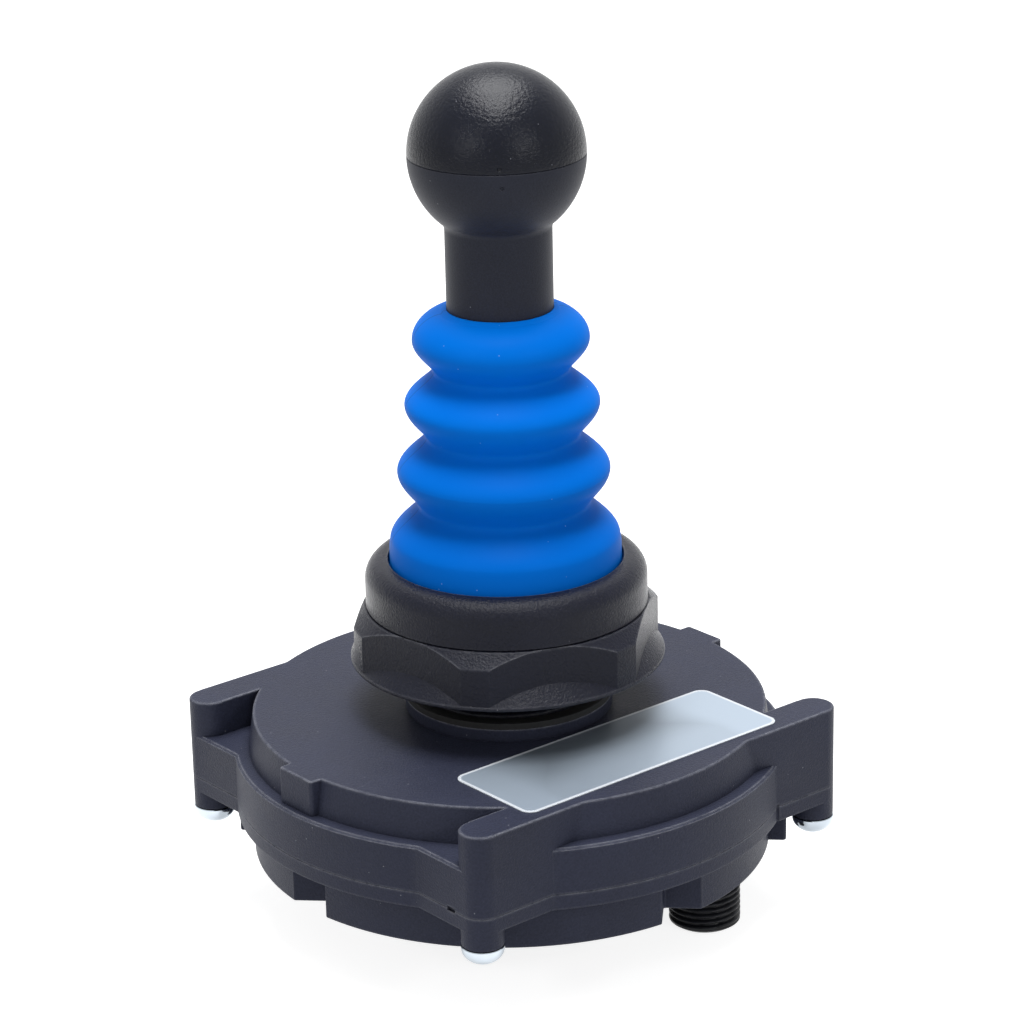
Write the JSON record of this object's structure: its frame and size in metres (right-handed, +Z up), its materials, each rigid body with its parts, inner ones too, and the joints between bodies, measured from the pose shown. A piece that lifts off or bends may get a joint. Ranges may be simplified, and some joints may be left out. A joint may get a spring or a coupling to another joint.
{
  "type": "industrial joystick",
  "caption": "Spring-centred panel joystick: ball knob on a gimballed lever, ribbed rubber bellows, clamping nut, round housing with screwed ears and a round cable connector.",
  "frame": {"origin": "on the neck's axis, at the seat that the control panel rests on", "axes": "+Z up along the neck and lever, X along the two bars of the lid and parallel to the label, Y across them"},
  "size_m": [0.0926, 0.0926, 0.1445],
  "materials": {
    "housing_plastic": "fine grained anthracite",
    "black_plastic": "satin black",
    "knob_gloss": "glossy black",
    "knob_matte": "satin black",
    "bellows_rubber": "smooth satin blue",
    "seal_rubber": "smooth black",
    "screw_steel": "bright zinc",
    "steel": "ground",
    "brass": "turned",
    "label_foil": "satin silver",
    "connector_plastic": "glossy black",
    "contact_gold": "gold plated",
    "natural_plastic": "natural",
    "switch_plastic": "moulded black",
    "board_laminate": "green lacquer",
    "wire_sleeve": "grey sleeve"
  },
  "bodies": {
    "housing": {"upper_housing": "housing_plastic", "lower_housing": "housing_plastic", "housing_seal": "seal_rubber", "panel_gasket": "seal_rubber", "housing_screws": "screw_steel", "threaded_neck": "black_plastic", "neck_seal": "seal_rubber", "mounting_nut": "black_plastic", "bezel_ring": "black_plastic", "bellows": "bellows_rubber", "gate_plate": "steel", "return_spring": "steel", "switch_carrier": "natural_plastic", "carrier_screws": "screw_steel", "circuit_board": "board_laminate", "board_screws": "screw_steel", "switch_front": "switch_plastic", "switch_back": "switch_plastic", "switch_left": "switch_plastic", "switch_right": "switch_plastic", "connector_shell": "connector_plastic", "connector_insert": "connector_plastic", "connector_contacts": "contact_gold", "connector_seal": "seal_rubber", "connector_nut": "brass", "connector_lead": "wire_sleeve", "label_plate": "label_foil"},
    "gimbal": {"gimbal_ring": "steel", "gimbal_pins": "steel"},
    "lever": {"pivot_hub": "steel", "hub_pins": "steel", "lever_shaft": "steel", "spring_washer": "steel", "spring_clip": "steel", "knob_stem": "knob_matte", "knob_cap": "knob_gloss", "knob_insert": "brass", "knob_lock_nut": "screw_steel"},
    "plunger_front": {"plunger_front": "natural_plastic"},
    "plunger_back": {"plunger_back": "natural_plastic"},
    "plunger_left": {"plunger_left": "natural_plastic"},
    "plunger_right": {"plunger_right": "natural_plastic"}
  },
  "joints": [
    {"name": "tilt_x", "type": "hinge", "parent": "housing", "child": "gimbal", "pos_m": [0, 0, -0.00115], "axis": [1, 0, 0], "range_deg": [-12, 12], "stiffness_Nm_per_rad": 0.9, "deforming": ["bellows", "return_spring"]},
    {"name": "tilt_y", "type": "hinge", "parent": "gimbal", "child": "lever", "pos_m": [0, 0, -0.00115], "axis": [0, 1, 0], "range_deg": [-12, 12], "stiffness_Nm_per_rad": 0.9, "deforming": ["bellows", "return_spring"]},
    {"name": "plunger_front_slide", "type": "slide", "parent": "housing", "child": "plunger_front", "axis": [0, 0, 1], "range_m": [-0.0011, 0.0011]},
    {"name": "plunger_back_slide", "type": "slide", "parent": "housing", "child": "plunger_back", "axis": [0, 0, 1], "range_m": [-0.0011, 0.0011]},
    {"name": "plunger_left_slide", "type": "slide", "parent": "housing", "child": "plunger_left", "axis": [0, 0, 1], "range_m": [-0.0011, 0.0011]},
    {"name": "plunger_right_slide", "type": "slide", "parent": "housing", "child": "plunger_right", "axis": [0, 0, 1], "range_m": [-0.0011, 0.0011]}
  ],
  "couplings": [
    {"joint": "plunger_front_slide", "follows": "tilt_x", "m_per_rad": -0.005},
    {"joint": "plunger_back_slide", "follows": "tilt_x", "m_per_rad": 0.005},
    {"joint": "plunger_left_slide", "follows": "tilt_y", "m_per_rad": 0.005},
    {"joint": "plunger_right_slide", "follows": "tilt_y", "m_per_rad": -0.005}
  ]
}
